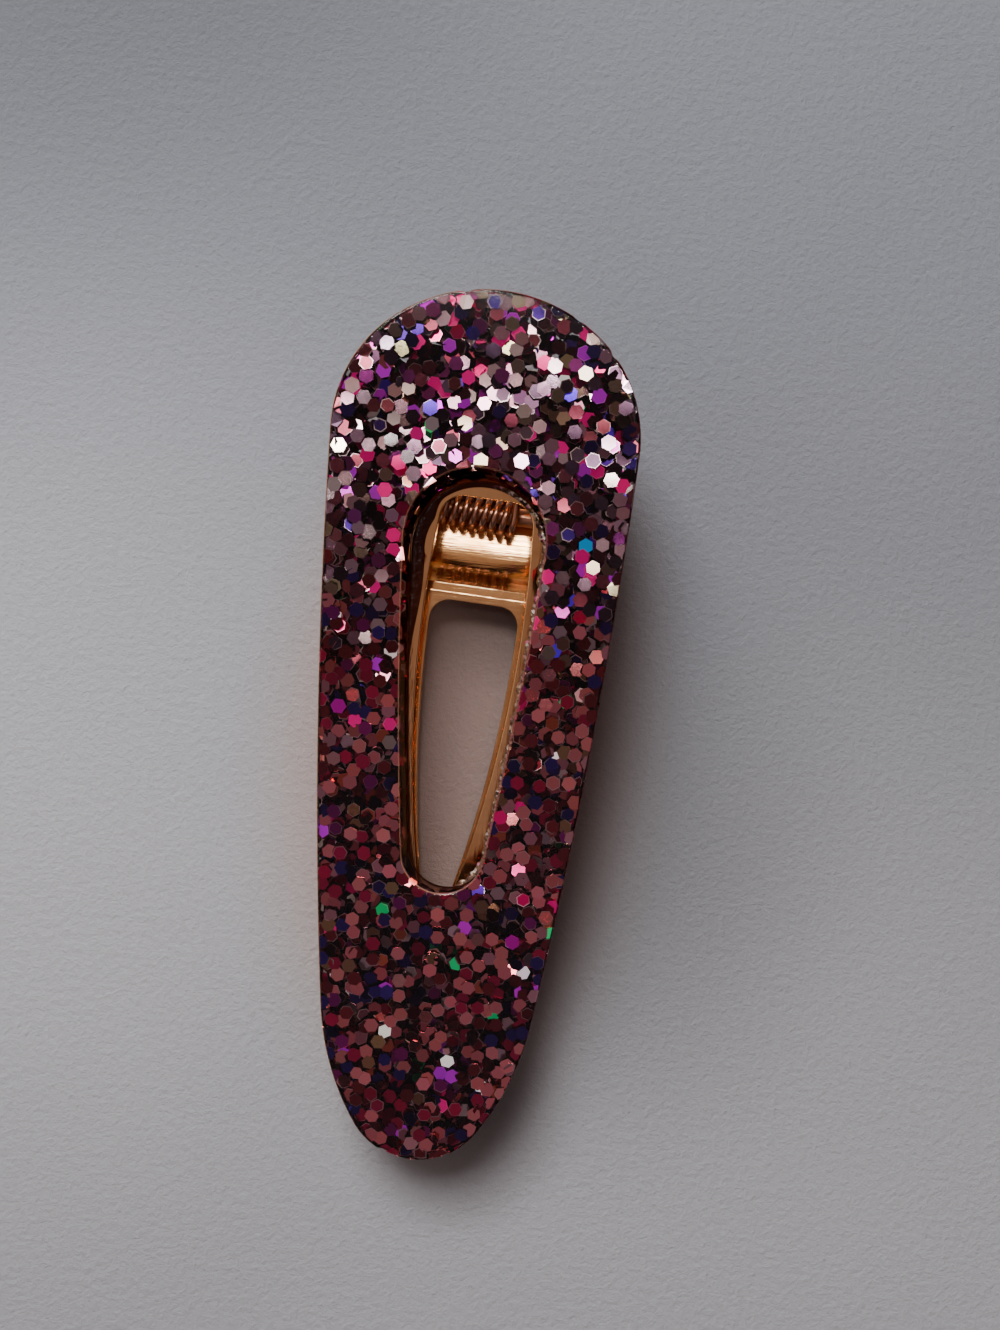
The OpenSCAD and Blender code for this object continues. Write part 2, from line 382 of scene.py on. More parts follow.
def circle(x, y, radius, count=32):
    """A round hole as a ring."""
    outward = facing(np.arange(count) * 360 / count)
    return [x, y] + radius * outward, outward


def slab_ring():
    return drop(-SLAB_LEN / 2, SLAB_LEN, SLAB_FOOT, SLAB_SIDE_END, SLAB_CHEEK)


def opening_ring():
    return drop(OPENING_START - SLAB_LEN / 2, OPENING_LEN, OPENING_FOOT, OPENING_SIDE_END, ())


def leaned(points, part=1.0):
    """Points of the slab moved as the opening leans: by its whole lean at the underside, none at the top."""
    shift = part * (1 - points[:, 2:] / SLAB_T) * OPENING_LEAN
    return points + np.column_stack([shift, np.zeros(len(points))])


def inside(points, ring):
    """Which points lie in a closed ring: those with an odd number of its edges to their right."""
    a, b = ring, np.roll(ring, -1, 0)
    x, y = points[:, :1], points[:, 1:]
    crosses = (a[:, 1] > y) != (b[:, 1] > y)
    rise = np.where(b[:, 1] == a[:, 1], 1, b[:, 1] - a[:, 1])
    return (crosses & (x < a[:, 0] + (y - a[:, 1]) * (b[:, 0] - a[:, 0]) / rise)).sum(1) % 2 == 1


def clearance(points, ring):
    """Distance from each point to the nearest of a ring's points."""
    parts = np.array_split(points, max(1, len(points) // 500))
    return np.concatenate([np.linalg.norm(p[:, None] - ring[None], axis=2).min(1) for p in parts])


def grid(x, y):
    """Each pair of an x and a y as a point."""
    x, y = np.meshgrid(x, y)
    return np.column_stack([x.ravel(), y.ravel()])


def plate(outer, holes, thickness, edge, lattice=None):
    """A flat plate with rounded edges, its middle at z = 0: its vertices, their normals and its faces.

    A profile is carried round each loop: a quarter circle of the edge's radius, an upright wall and another
    quarter circle. The flat faces fill what is left, with the lattice's points among their corners.
    """
    loops = [outer] + [(points[::-1], -normals[::-1]) for points, normals in holes]
    quarter = np.linspace(0, 90, EDGE_STEPS + 1)
    turn = np.radians(np.concatenate([quarter - 90, quarter]))
    inset = edge * (1 - np.cos(turn))
    height = np.repeat([-1, 1], EDGE_STEPS + 1) * (thickness / 2 - edge) + edge * np.sin(turn)
    rows, first = len(turn), 0
    vertices, normals, faces, bottom, top, edges = [], [], [], [], [], []
    for points, outward in loops:
        count = len(points)
        shape = (rows, count, 1)
        flat = points - inset[:, None, None] * outward
        lean = np.cos(turn)[:, None, None] * outward
        for made, across, upright in ((vertices, flat, height), (normals, lean, np.sin(turn))):
            upright = np.broadcast_to(upright[:, None, None], shape)
            made.append(np.concatenate([across, upright], 2).reshape(-1, 3))
        index = first + np.arange(rows * count).reshape(rows, count)
        ahead = np.roll(index, -1, 1)
        faces += np.stack([index[:-1], ahead[:-1], ahead[1:], index[1:]], 2).reshape(-1, 4).tolist()
        start = sum(len(t) for t in top)
        edges += [(start + k, start + (k + 1) % count) for k in range(count)]
        bottom.append(index[0])
        top.append(index[-1])
        first += rows * count
    rims = [points - edge * outward for points, outward in loops]
    fill = np.concatenate(rims)

    def solid(points):
        return inside(points, rims[0]) & ~np.any([inside(points, rim) for rim in rims[1:]], axis=0)

    if lattice is not None:
        lattice = lattice[solid(lattice) & (clearance(lattice, fill) > 0.6 * SHEET_STEP)]
        for sign, side in ((-1, bottom), (1, top)):
            vertices.append(np.column_stack([lattice, np.full(len(lattice), sign * thickness / 2)]))
            normals.append(np.tile([0, 0, sign], (len(lattice), 1)))
            side.append(first + np.arange(len(lattice)))
            first += len(lattice)
        fill = np.concatenate([fill, lattice])
    made = delaunay_2d_cdt([Vector(p) for p in fill], edges, [], 1, 1e-5, True)
    triangles = np.array([origins[0] for origins in made[3]])[np.array(made[2])]
    triangles = triangles[solid(fill[triangles].mean(1))]
    faces += np.concatenate(top)[triangles].tolist() + np.concatenate(bottom)[triangles[:, ::-1]].tolist()
    return np.concatenate(vertices), np.concatenate(normals), faces


def lifted(vertices, normals, lift):
    """Moves flat vertices by a rule, and turns their normals as the rule turns a short step along them."""
    step = 1e-3
    moved = lift(vertices)
    turned = lift(vertices + step * normals) - moved
    return moved, turned / np.linalg.norm(turned, axis=1, keepdims=True)


class Ear:
    """An ear of the metal sheet, drawn flat as a flap that the sheet is cut free for on both sides.

    fold_x is where the fold starts, fold_r its radius in the middle of the sheet and sense is -1 where the
    ear folds down and 1 where it folds up. drop is how far the hinge is from the flat sheet's middle. end_r
    and waist_r are the radii of the round end and the waist. root and slope are pairs, for the front and the
    rear: where the root ends, and how far the side slants.
    """

    def __init__(self, fold_x, fold_r, sense, drop, end_r, waist_r, root, slope):
        self.fold_x, self.fold_r, self.sense = fold_x, fold_r, sense
        self.end_r, self.waist_r, self.slope = end_r, waist_r, slope
        self.front_y, self.rear_y = HINGE_Y + root[0], HINGE_Y + root[1]
        self.hinge_x = fold_x + fold_r * math.pi / 2 + drop - fold_r

    def draw(self, pen):
        """Corner, slit, slanted side, waist, the round end about the hinge, and back to the root."""
        pen.to_y(self.front_y - 2 * SLIT_R - CORNER_R).arc(CORNER_R, 90).to_x(self.fold_x).arc(SLIT_R, -90)
        neck_x = self.hinge_x + (self.end_r + self.waist_r) * facing(110)[0]
        pen.arc(CORNER_R, self.slope[0] - 90)
        pen.to_x(neck_x - self.waist_r * facing(self.slope[0] - 90)[0])
        pen.arc(self.waist_r, -110).arc(self.end_r, 110).arc(self.waist_r, 90 - self.slope[1])
        return pen.to_x(self.fold_x + CORNER_R).arc(CORNER_R, 90)

    def pin_holes(self):
        return [circle(side * self.hinge_x, HINGE_Y, PIN_HOLE_R) for side in (-1, 1)]

    def fold(self, flat, rows):
        """Rolls the flap round a quarter circle. rows says which vertices lie level with the ear."""
        side = np.where(flat[:, 0] < 0, -1, 1)
        out = np.maximum(np.abs(flat[:, 0]) - self.fold_x, 0) * rows
        turn = np.clip(out / self.fold_r, 0, math.pi / 2)
        run = np.maximum(out - self.fold_r * math.pi / 2, 0)
        along = np.abs(flat[:, 0]) - out + self.fold_r * np.sin(turn)
        height = self.sense * (self.fold_r * (1 - np.cos(turn)) + run)
        along = along - self.sense * np.sin(turn) * flat[:, 2]
        return np.column_stack([side * along, flat[:, 1], height + np.cos(turn) * flat[:, 2]])

    def lattice(self):
        """Points across the fold, on lines along it."""
        lines = self.fold_x + self.fold_r * np.linspace(-0.2, math.pi / 2 + 0.2, 12)
        return grid(np.concatenate([-lines, lines]), np.arange(self.front_y + 0.2, self.rear_y, 0.4))


UPPER_EAR = Ear(
    fold_x=5.8, fold_r=0.7, sense=-1, drop=HINGE_DROP + UPPER_T / 2, end_r=2.7, waist_r=0.6,
    root=(-3.4, 3.6), slope=(23.6, 23.6))


def upper_arm_shape():
    """The upper arm: a flat frame and tab, drawn in one with its ears, which are then folded down."""
    pen = UPPER_EAR.draw(Pen(0, upper_low[1], SHEET_STEP).to_x(TIP_HALF_W).arcs(UPPER_SIDE))
    pen.to_x(UPPER_EAR.fold_x).arc(SLIT_R, -90).to_x(upper_high[0] - CORNER_R)
    pen.arc(CORNER_R, 0).to_y(TAB_EDGE_Y).arc(TAB_CORNER_R, 90).to_x(0)
    holes = [upper_hole_ring(), *UPPER_EAR.pin_holes()]
    vertices, normals, faces = plate(pen.ring(), holes, UPPER_T, SHEET_EDGE, UPPER_EAR.lattice())

    def lift(flat):
        rows = smooth(flat[:, 1], EAR_ROOT_START, UPPER_EAR.front_y)
        rows = rows * (1 - smooth(flat[:, 1], UPPER_EAR.rear_y - 0.2, EAR_ROOT_END))
        return UPPER_EAR.fold(flat, rows) + [0, 0, UPPER_T / 2]

    return *lifted(vertices, normals, lift), faces


def upper_hole_ring():
    return Pen(0, UPPER_HOLE_START, SHEET_STEP).arcs(UPPER_HOLE).to_x(0).ring()


def lower_profile():
    """The middle of the lower arm's sheet seen from the side: y, z and heading, in steps of its bends.

    A stretch that turns evenly is an arc, which is stepped along by chords.
    """
    lengths, turns = [], []
    for length, turn in LOWER_PROFILE:
        count = max(1, math.ceil(abs(turn) / BEND_STEP))
        lengths += [length / count] * count
        turns += [turn / count] * count
    heading = JAW_SLOPE + np.concatenate([[0], np.cumsum(turns)])
    steps = np.array(lengths)[:, None] * facing((heading[1:] + heading[:-1]) / 2)
    middle = np.concatenate([[[0, 0]], np.cumsum(steps, 0)])
    middle = np.array([lower_low[1], -JAW_GAP - LOWER_T / 2]) + middle
    return middle[:, 0], middle[:, 1], heading


def lower_arm_shape():
    """The lower arm: jaw, ramp, floor and lever, drawn flat with ears, folded up and bent to its profile."""
    profile_y, profile_z, heading = lower_profile()
    ear = Ear(
        fold_x=4.95, fold_r=0.6, sense=1, drop=-HINGE_DROP - np.interp(FLOOR_END, profile_y, profile_z),
        end_r=2.1, waist_r=0.5, root=(-3.6, 2.6), slope=(40, 6.5))
    pen = ear.draw(Pen(0, lower_low[1], SHEET_STEP).to_x(TIP_HALF_W).arcs(LOWER_SIDE)).arc(LEVER_NECK_R, 0)
    pen.to_y(profile_y[-1] - LEVER_CORNER_R).arc(LEVER_CORNER_R, 90).to_x(0)
    holes = [Pen(0, LOWER_HOLE_START, SHEET_STEP).arcs(LOWER_HOLE).to_x(0).ring(), *ear.pin_holes()]
    rows = np.unique(np.concatenate([profile_y, np.arange(profile_y[0], profile_y[-1])]))
    columns = np.arange(-LATTICE_HALF_W, LATTICE_HALF_W + 0.1, LATTICE_STEP)
    lattice = np.concatenate([grid(columns, rows), ear.lattice()])
    vertices, normals, faces = plate(pen.ring(), holes, LOWER_T, SHEET_EDGE, lattice)

    def lift(flat):
        level = (flat[:, 1] > ear.front_y - SLIT_R) & (flat[:, 1] < ear.rear_y)
        folded = ear.fold(flat, level)
        on_ear = level & (np.abs(flat[:, 0]) > ear.fold_x)
        y = np.where(on_ear, np.minimum(flat[:, 1], FLOOR_END), flat[:, 1])
        along = np.radians(np.interp(y, profile_y, heading))
        past = flat[:, 1] - y
        back = y + past * np.cos(along) - folded[:, 2] * np.sin(along)
        height = np.interp(y, profile_y, profile_z) + past * np.sin(along) + folded[:, 2] * np.cos(along)
        return np.column_stack([folded[:, 0], back, height])

    return *lifted(vertices, normals, lift), faces


def tube(path, radii, sides, across=(1, 0, 0)):
    """A round tube along a path, with a radius at each of its points and a pole at each end.

    Each ring's first spoke is at right angles to the path and to the direction across, and the ring's points
    go round the path from it.
    """
    ahead = np.gradient(path, axis=0)
    ahead /= np.linalg.norm(ahead, axis=1, keepdims=True)
    spoke = np.cross(ahead, across)
    spoke /= np.linalg.norm(spoke, axis=1, keepdims=True)
    other = np.cross(ahead, spoke)
    round_ = facing(np.arange(sides) * 360 / sides)
    rings = path[:, None] + radii[:, None, None] * (
        round_[None, :, :1] * spoke[:, None] + round_[None, :, 1:] * other[:, None])
    index = np.arange(rings.shape[0] * sides).reshape(-1, sides)
    after = np.roll(index, -1, 1)
    faces = np.stack([index[:-1], after[:-1], after[1:], index[1:]], 2).reshape(-1, 4).tolist()
    poles = index.size, index.size + 1
    faces += [(poles[0], b, a) for a, b in zip(index[0], after[0])]
    faces += [(poles[1], a, b) for a, b in zip(index[-1], after[-1])]
    return np.concatenate([rings.reshape(-1, 3), path[[0, -1]]]), faces


def pin_shape():
    """The hinge pin: a rod with a domed rivet head at each end, turned on the hinge's axis.

    By an angle from the rim, a dome rises with its sine and narrows with a power of its cosine.
    """
    inner, outer = pin_high[0] - RIVET_T, pin_high[0]
    turn = np.radians(np.linspace(90, 3, 9))
    dome_x = inner + RIVET_RIM + (outer - inner - RIVET_RIM) * np.sin(turn)
    dome_r = RIVET_R * np.cos(turn) ** RIVET_DOME
    half_x = np.concatenate([dome_x, [inner, inner, inner - 0.02]])
    half_r = np.concatenate([dome_r, [RIVET_R, PIN_R + 0.02, PIN_R]])
    x = np.concatenate([-half_x, half_x[::-1]])
    radii = np.concatenate([half_r, half_r[::-1]])
    spread = np.linspace(-1e-4, 1e-4, len(x))
    path = np.column_stack([x + spread, np.full(len(x), HINGE_Y), np.full(len(x), -HINGE_DROP)])
    return tube(path, radii, 48, across=(0, 0, 1))


def spring_shape():
    """The spring: a left-handed helix round the hinge with a straight leg along the tangent at each end.

    The coil sits a little askew on the pin, turned about its middle as seen from above.
    """
    angle = np.arange(COIL_FIRST, COIL_LAST + 1, COIL_STEP)
    x = COIL_RIGHT_X - COIL_PITCH * (angle - COIL_FIRST) / 360
    around = COIL_R * facing(angle)
    middle, along = x.mean(), facing(COIL_ASKEW)
    x, y = (np.column_stack([x - middle, around[:, 0]]) @ np.array([along, [-along[1], along[0]]])).T
    coil = np.column_stack([middle + x, HINGE_Y + y, around[:, 1] - HINGE_DROP])

    def leg(end, turn, sign):
        direction = np.array([0, *facing(turn + 90)]) * sign
        rounded = LEG_LEN - LEG_ROUND * (1 - np.sin(LEG_ROUNDING))
        run = np.concatenate([np.linspace(LEG_START, LEG_LEN - LEG_ROUND, 8), rounded])
        return end + run[:, None] * direction

    first, last = leg(coil[0], COIL_FIRST, -1)[::-1], leg(coil[-1], COIL_LAST, 1)
    path = np.concatenate([first, coil, last])
    rounding = np.cos(LEG_ROUNDING)
    radii = np.concatenate([rounding[::-1], np.ones(len(path) - 2 * len(rounding)), rounding])
    return tube(path, WIRE_R * radii, 16)


def slab_shape(edge, nick_scale):
    """The slab's skin: its outline and opening with rounded edges, and nicks pressed in from outside.

    A nick moves the vertices near it towards the slab's middle by its depth times the square of
    1 - (distance / radius) squared.
    """
    vertices, normals, faces = plate(slab_ring(), [opening_ring()], SLAB_T, edge)
    vertices = vertices + [0, 0, SLAB_T / 2]
    round_opening = (clearance(vertices[:, :2], opening_ring()[0]) < 1)[:, None]
    vertices = np.where(round_opening, leaned(vertices), vertices)
    for x, y, radius, depth in NICKS:
        near = np.linalg.norm(vertices - [x, y, NICK_Z], axis=1) / radius
        push = depth * nick_scale * np.maximum(1 - near ** 2, 0) ** 2
        vertices = vertices - push[:, None] * (normals * [1, 1, 0.6])
    wall = np.where(round_opening[:, 0], 1.0, 0.5) * (1 - smooth(np.abs(normals[:, 2]), 0.25, 0.95))
    return slab_to_metal(vertices), normals @ SLAB_TURN.T, faces, wall


def picked(foils, chance):
    """A foil's colour and metal for each chance between 0 and 1, by the foils' shares."""
    edges = np.cumsum(foils[:, 4]) / foils[:, 4].sum()
    return foils[np.minimum(np.searchsorted(edges, chance), len(foils) - 1), :4]


def wall_clearance(points):
    """Distance of points of the slab from its outer wall and from its opening's, whichever is nearer."""
    outer, hole = slab_ring()[0], opening_ring()[0]
    return np.minimum(clearance(points[:, :2], outer), clearance(leaned(points, -1)[:, :2], hole))


def flake_places(settings, rng):
    """Centres of the flakes over the slab's underside, on a shaken hexagonal lattice in each layer.

    A layer keeps its share of the lattice's points, at least the margin away from the slab's walls.
    """
    outer, hole = slab_ring()[0], opening_ring()[0]
    pitch = settings.flake_width / MM * FLAKE_PITCH
    count = math.ceil(SLAB_LEN / 2 / math.sqrt(0.75) / pitch) + 2
    column, row = np.meshgrid(np.arange(-count, count + 1), np.arange(-count, count + 1))
    lattice = np.column_stack([(column + row % 2 / 2).ravel(), (row * math.sqrt(0.75)).ravel()]) * pitch
    depths = np.linspace(settings.first_depth / MM, SLAB_T - settings.first_depth / MM, settings.layers)
    places = []
    for layer, depth in enumerate(depths):
        turn = facing(rng.uniform(0, 360))
        points = lattice @ np.array([turn, [-turn[1], turn[0]]]) + rng.uniform(-pitch, pitch, 2)
        points = points + rng.normal(0, FLAKE_SHAKE * pitch, points.shape)
        share = settings.top_cover if layer == 0 else settings.cover
        if layer < RIM_LAYERS:
            share = share + (RIM_COVER - share) * (1 - smooth(clearance(points, outer), *RIM_REACH))
        points = points[rng.random(len(points)) < share]
        points = np.column_stack([points, SLAB_T - depth + rng.normal(0, DEPTH_SHAKE, len(points))])
        within = inside(points[:, :2], outer) & ~inside(leaned(points, -1)[:, :2], hole)
        places.append(points[within & (wall_clearance(points) > settings.wall_margin / MM)])
    return np.concatenate(places)


def kept_inside(points, margin):
    """Points of the slab, those past its walls or too near them moved to the nearest point on a line that
    follows the walls at the margin.
    """
    outer, outer_normals = slab_ring()
    hole, hole_normals = opening_ring()
    for line, sign in ((outer - margin * outer_normals, 1), (hole + margin * hole_normals, -1)):
        points = leaned(points, -1) if sign < 0 else points
        astray = inside(points[:, :2], line) != (sign > 0)
        parts = np.array_split(points[astray, :2], 40)
        nearest = [line[np.linalg.norm(p[:, None] - line[None], axis=2).argmin(1)] for p in parts]
        points[astray, :2] = np.concatenate(nearest)
    return leaned(points)


def turns(angle, axis):
    """Rotation matrices by angles about X, which is axis 0, or Z, which is axis 2."""
    made = np.tile(np.eye(3), (len(angle), 1, 1))
    a, b = (axis + 1) % 3, (axis + 2) % 3
    made[:, a, a] = made[:, b, b] = np.cos(angle)
    made[:, b, a] = np.sin(angle)
    made[:, a, b] = -made[:, b, a]
    return made


def flake_colours(settings, rng, places, wide):
    """A colour for each flake and how metallic it is, from the foils of its end of the drop.

    wide is the chance of a foil from the wide end. A painted shade darkens a foil by e to the power of minus its
    distance from the skin over the shade's depth, and each of its three colours by a further power. Hot foils
    are those with a painted glow, and take less of the painted shade. Deep down all foils are more metallic, which
    puts the glow out.
    """
    depth, count = SLAB_T - places[:, 2], len(places)
    wide = wide > rng.random(count)
    chance = rng.random(count)
    chance = np.where(depth < TOP_DEPTH, TOP_CHANCE * chance, chance ** DEEP_POWER)
    colour = np.where(wide[:, None], picked(WIDE_FOILS, chance), picked(REST_FOILS, chance))
    near = np.minimum(np.minimum(places[:, 2], depth), wall_clearance(places))
    # Painted shade: a flake is darker the further it lies from the slab's faces and walls
    painted_shade = near / (settings.shade_depth / MM) * np.where(colour[:, 3] < HOT_METAL, HOT_SHADE_SHARE, 1)
    depth_shade = np.exp(-painted_shade)[:, None] ** DEPTH_SHADE_POWERS
    colour[:, :3] *= depth_shade * rng.uniform(*FOIL_LIGHTNESS, (count, 1)) * rng.uniform(*FOIL_HUES, (count, 3))
    colour = np.clip(colour, 0, 1)
    colour[depth > HOT_DEPTH, 3] += DEEP_METAL
    return colour


def flakes_shape(settings):
    """All flakes as one mesh of thin hexagonal prisms: vertices, faces, and colours and places by corner.

    Each flake is spun about its own axis and tipped about a random direction in its plane. Most lie nearly
    flat, and a share of them is tipped well over. At the wide end all lean a little.
    """
    rng = np.random.default_rng(settings.seed)
    places = flake_places(settings, rng)
    count = len(places)
    loose = rng.random(count) < settings.loose_share
    tip = np.where(loose, rng.normal(0, settings.loose_tip, count), rng.normal(0, settings.tip, count))
    radius = settings.flake_width / MM / math.sqrt(3) * rng.uniform(*FLAKE_SIZES, count)
    tip = np.clip(tip, -MOST_TIP, MOST_TIP) * smooth(wall_clearance(places), *WALL_REACH)
    room = np.minimum(places[:, 2], SLAB_T - places[:, 2]) - SKIN_GAP
    most = np.arcsin(np.clip(room / radius, 0, MOST_REACH))
    tip = np.clip(tip, -most, most)
    lean, spin = rng.uniform(0, 2 * math.pi, count), rng.uniform(0, 2 * math.pi, count)
    wide = smooth(places[:, 1], *FOIL_CHANGE_Y)
    turn = turns(-settings.wide_lean * wide, 0) @ turns(lean, 2) @ turns(tip, 0) @ turns(spin, 2)
    corner = facing(np.arange(6) * 60)
    prism = np.concatenate([np.column_stack([corner, np.full(6, z)]) for z in (-1, 1)])
    scale = np.stack([radius, radius, np.full(count, settings.flake_thickness / MM / 2)], 1)
    vertices = places[:, None] + np.einsum("nij,nkj->nki", turn, prism[None] * scale[:, None])
    index = np.arange(6)
    ahead = np.roll(index, -1)
    sides = np.stack([index, ahead, ahead + 6, index + 6], 1)
    offset = 12 * np.arange(count)[:, None]
    faces = [face for part in (index[::-1], index + 6, *sides) for face in (part + offset).tolist()]
    colour = flake_colours(settings, rng, places, wide)
    caps, walls = np.tile(np.repeat(colour, 6, 0), (2, 1)), np.tile(np.repeat(colour, 4, 0), (6, 1))
    # Places of the painted highlight lines on the flakes' faces
    outline = corner * rng.uniform(*EDGE_HIGHLIGHT_PLACES, count)[:, None, None]
    face_places = [outline[:, ::-1].reshape(-1, 2), outline.reshape(-1, 2), np.zeros((24 * count, 2))]
    vertices = kept_inside(vertices.reshape(-1, 3), FLAKE_INSET)
    return slab_to_metal(vertices), faces, np.concatenate([caps, walls]), np.concatenate(face_places)


def glue_and_shade_film_shape(settings):
    """A fillet of glue on the metal ledge round the opening, against the slab's wall; on the left it widens into a
    dark film of painted shade.

    Its section has five points, the corner, two on the ledge and two up the wall, as rows of a part of the
    width, a shift and a part of the height. Its width follows a sum of sines along the opening, as rows of a
    height, a rate a millimetre and a start, and is never more than the ledge that is there.
    """
    ring, outward = opening_ring()
    flat = np.zeros((len(ring), 1))
    wall = (leaned(np.hstack([ring, flat])) @ SLAB_TURN.T)[:, :2]
    hole = upper_hole_ring()[0]
    ledge = np.where(inside(wall, hole), 0, clearance(wall, hole))
    run = np.cumsum(np.linalg.norm(np.diff(ring, axis=0, prepend=ring[-1:]), axis=1))
    wave = sum(height * np.sin(run * rate + start) for height, rate, start in GLUE_WAVES)
    left = LEFT_SHADE_FILM[0] + LEFT_SHADE_FILM[1] * smooth(ring[:, 1], *LEFT_SHADE_FILM_RISE)
    right = settings.glue_width / MM * (1 + wave)
    width = left + (right - left) * smooth(ring[:, 0], *GLUE_RIGHT_RISE)
    width = width + (GLUE_BACK - width) * smooth(ring[:, 1], *GLUE_BACK_RISE)
    width = np.maximum(np.minimum(width, GLUE_LEDGE * ledge), GLUE_LEAST)[:, None]
    rise = np.minimum(width, GLUE_MOST_HEIGHT)
    inward = np.hstack([-outward, flat]) @ SLAB_TURN.T
    up = np.array([0, 0, 1.0])
    low = np.hstack([wall, flat]) + up * (UPPER_T - 0.01) - 0.05 * inward
    rings = np.stack([low + (a * width + b) * inward + c * rise * up for a, b, c in GLUE_SECTION], 1)
    index = np.arange(rings.shape[0] * len(GLUE_SECTION)).reshape(-1, len(GLUE_SECTION))
    along, around = np.roll(index, -1, 0), np.roll(index, -1, 1)
    faces = np.stack([index, around, np.roll(along, -1, 1), along], 2).reshape(-1, 4).tolist()
    return rings.reshape(-1, 3), faces


class Value:
    """What a socket of a shader gives. Arithmetic on values adds the Math nodes that work it out."""

    def __init__(self, shader, socket):
        self.shader = shader
        self.socket = socket

    def also(self, output):
        """Another output of the same node."""
        return Value(self.shader, self.socket.node.outputs[output])

    def math(self, operation, *operands):
        return self.shader.node("ShaderNodeMath", {"operation": operation}, dict(enumerate(operands)))

    def __add__(self, other):
        return self.math("ADD", self, other)

    def __sub__(self, other):
        return self.math("SUBTRACT", self, other)

    def __rsub__(self, other):
        return self.math("SUBTRACT", other, self)

    def __mul__(self, other):
        return self.math("MULTIPLY", self, other)

    def __truediv__(self, other):
        return self.math("DIVIDE", self, other)

    __radd__ = __add__
    __rmul__ = __mul__

    def smooth(self, low, high):
        """0 below low and 1 above high, with an S-shaped rise between."""
        inputs = {"Value": self, "From Min": low, "From Max": high}
        return self.shader.node("ShaderNodeMapRange", {"interpolation_type": "SMOOTHSTEP"}, inputs)


class Shader:
    """The node tree of a material or of the world."""

    def __init__(self, owner):
        owner.use_nodes = True
        world = isinstance(owner, bpy.types.World)
        self.output = "ShaderNodeOutputWorld" if world else "ShaderNodeOutputMaterial"
        self.tree = owner.node_tree
        self.tree.nodes.clear()

    def node(self, kind, settings=None, inputs=None, output=0):
        """Adds a node, makes its settings, then fills its sockets with values or links them."""
        node = self.tree.nodes.new(kind)
        for name, setting in (settings or {}).items():
            if name == "stops":
                ramp = node.color_ramp.elements
                while len(ramp) < len(setting):
                    ramp.new(0.5)
                for element, (place, colour) in zip(ramp, setting):
                    element.position = place
                    element.color = colour
            else:
                setattr(node, name, setting)
        for name, value in (inputs or {}).items():
            if isinstance(value, Value):
                self.tree.links.new(value.socket, node.inputs[name])
            else:
                node.inputs[name].default_value = value
        return Value(self, node.outputs[output]) if node.outputs else node

    def place(self, scale=(1, 1, 1), shift=(0, 0, 0)):
        """Object coordinates, scaled and then shifted."""
        point = self.node("ShaderNodeTexCoord", output="Object")
        return self.node("ShaderNodeMapping", None, {"Vector": point, "Scale": scale, "Location": shift})

    def along(self, axis):
        return self.node("ShaderNodeSeparateXYZ", None, {0: self.place()}, axis)

    def measure(self, operation, *vectors):
        """The number that Vector Math makes of vectors."""
        return self.node("ShaderNodeVectorMath", {"operation": operation}, dict(enumerate(vectors)), "Value")

    def cells(self, scale, output):
        return self.node("ShaderNodeTexVoronoi", None, {"Vector": self.place(), "Scale": scale}, output)

    def noise(self, scale, detail=2.0, roughness=0.5, place=None):
        inputs = {"Vector": place or self.place(), "Scale": scale, "Detail": detail, "Roughness": roughness}
        return self.node("ShaderNodeTexNoise", None, inputs, "Fac")

    def mix(self, factor, a, b):
        """Two colours mixed by a factor."""
        return self.node("ShaderNodeMix", {"data_type": "RGBA"}, {0: factor, 6: a, 7: b}, 2)

    def bump(self, height, distance, strength):
        inputs = {"Height": height, "Distance": distance, "Strength": strength}
        return self.node("ShaderNodeBump", None, inputs)

    def principled(self, inputs):
        return self.node("ShaderNodeBsdfPrincipled", None, inputs)

    def see_through(self, colour):
        return self.node("ShaderNodeBsdfTransparent", None, {"Color": rgba(colour)})

    def blend(self, factor, a, b):
        """Two shaders mixed by a factor."""
        return self.node("ShaderNodeMixShader", None, {0: factor, 1: a, 2: b})

    def surface(self, shader):
        self.node(self.output, None, {"Surface": shader})


def new_material(name):
    material = bpy.data.materials.new(name)
    return material, Shader(material)


def rgba(colour):
    return (*colour, 1.0)


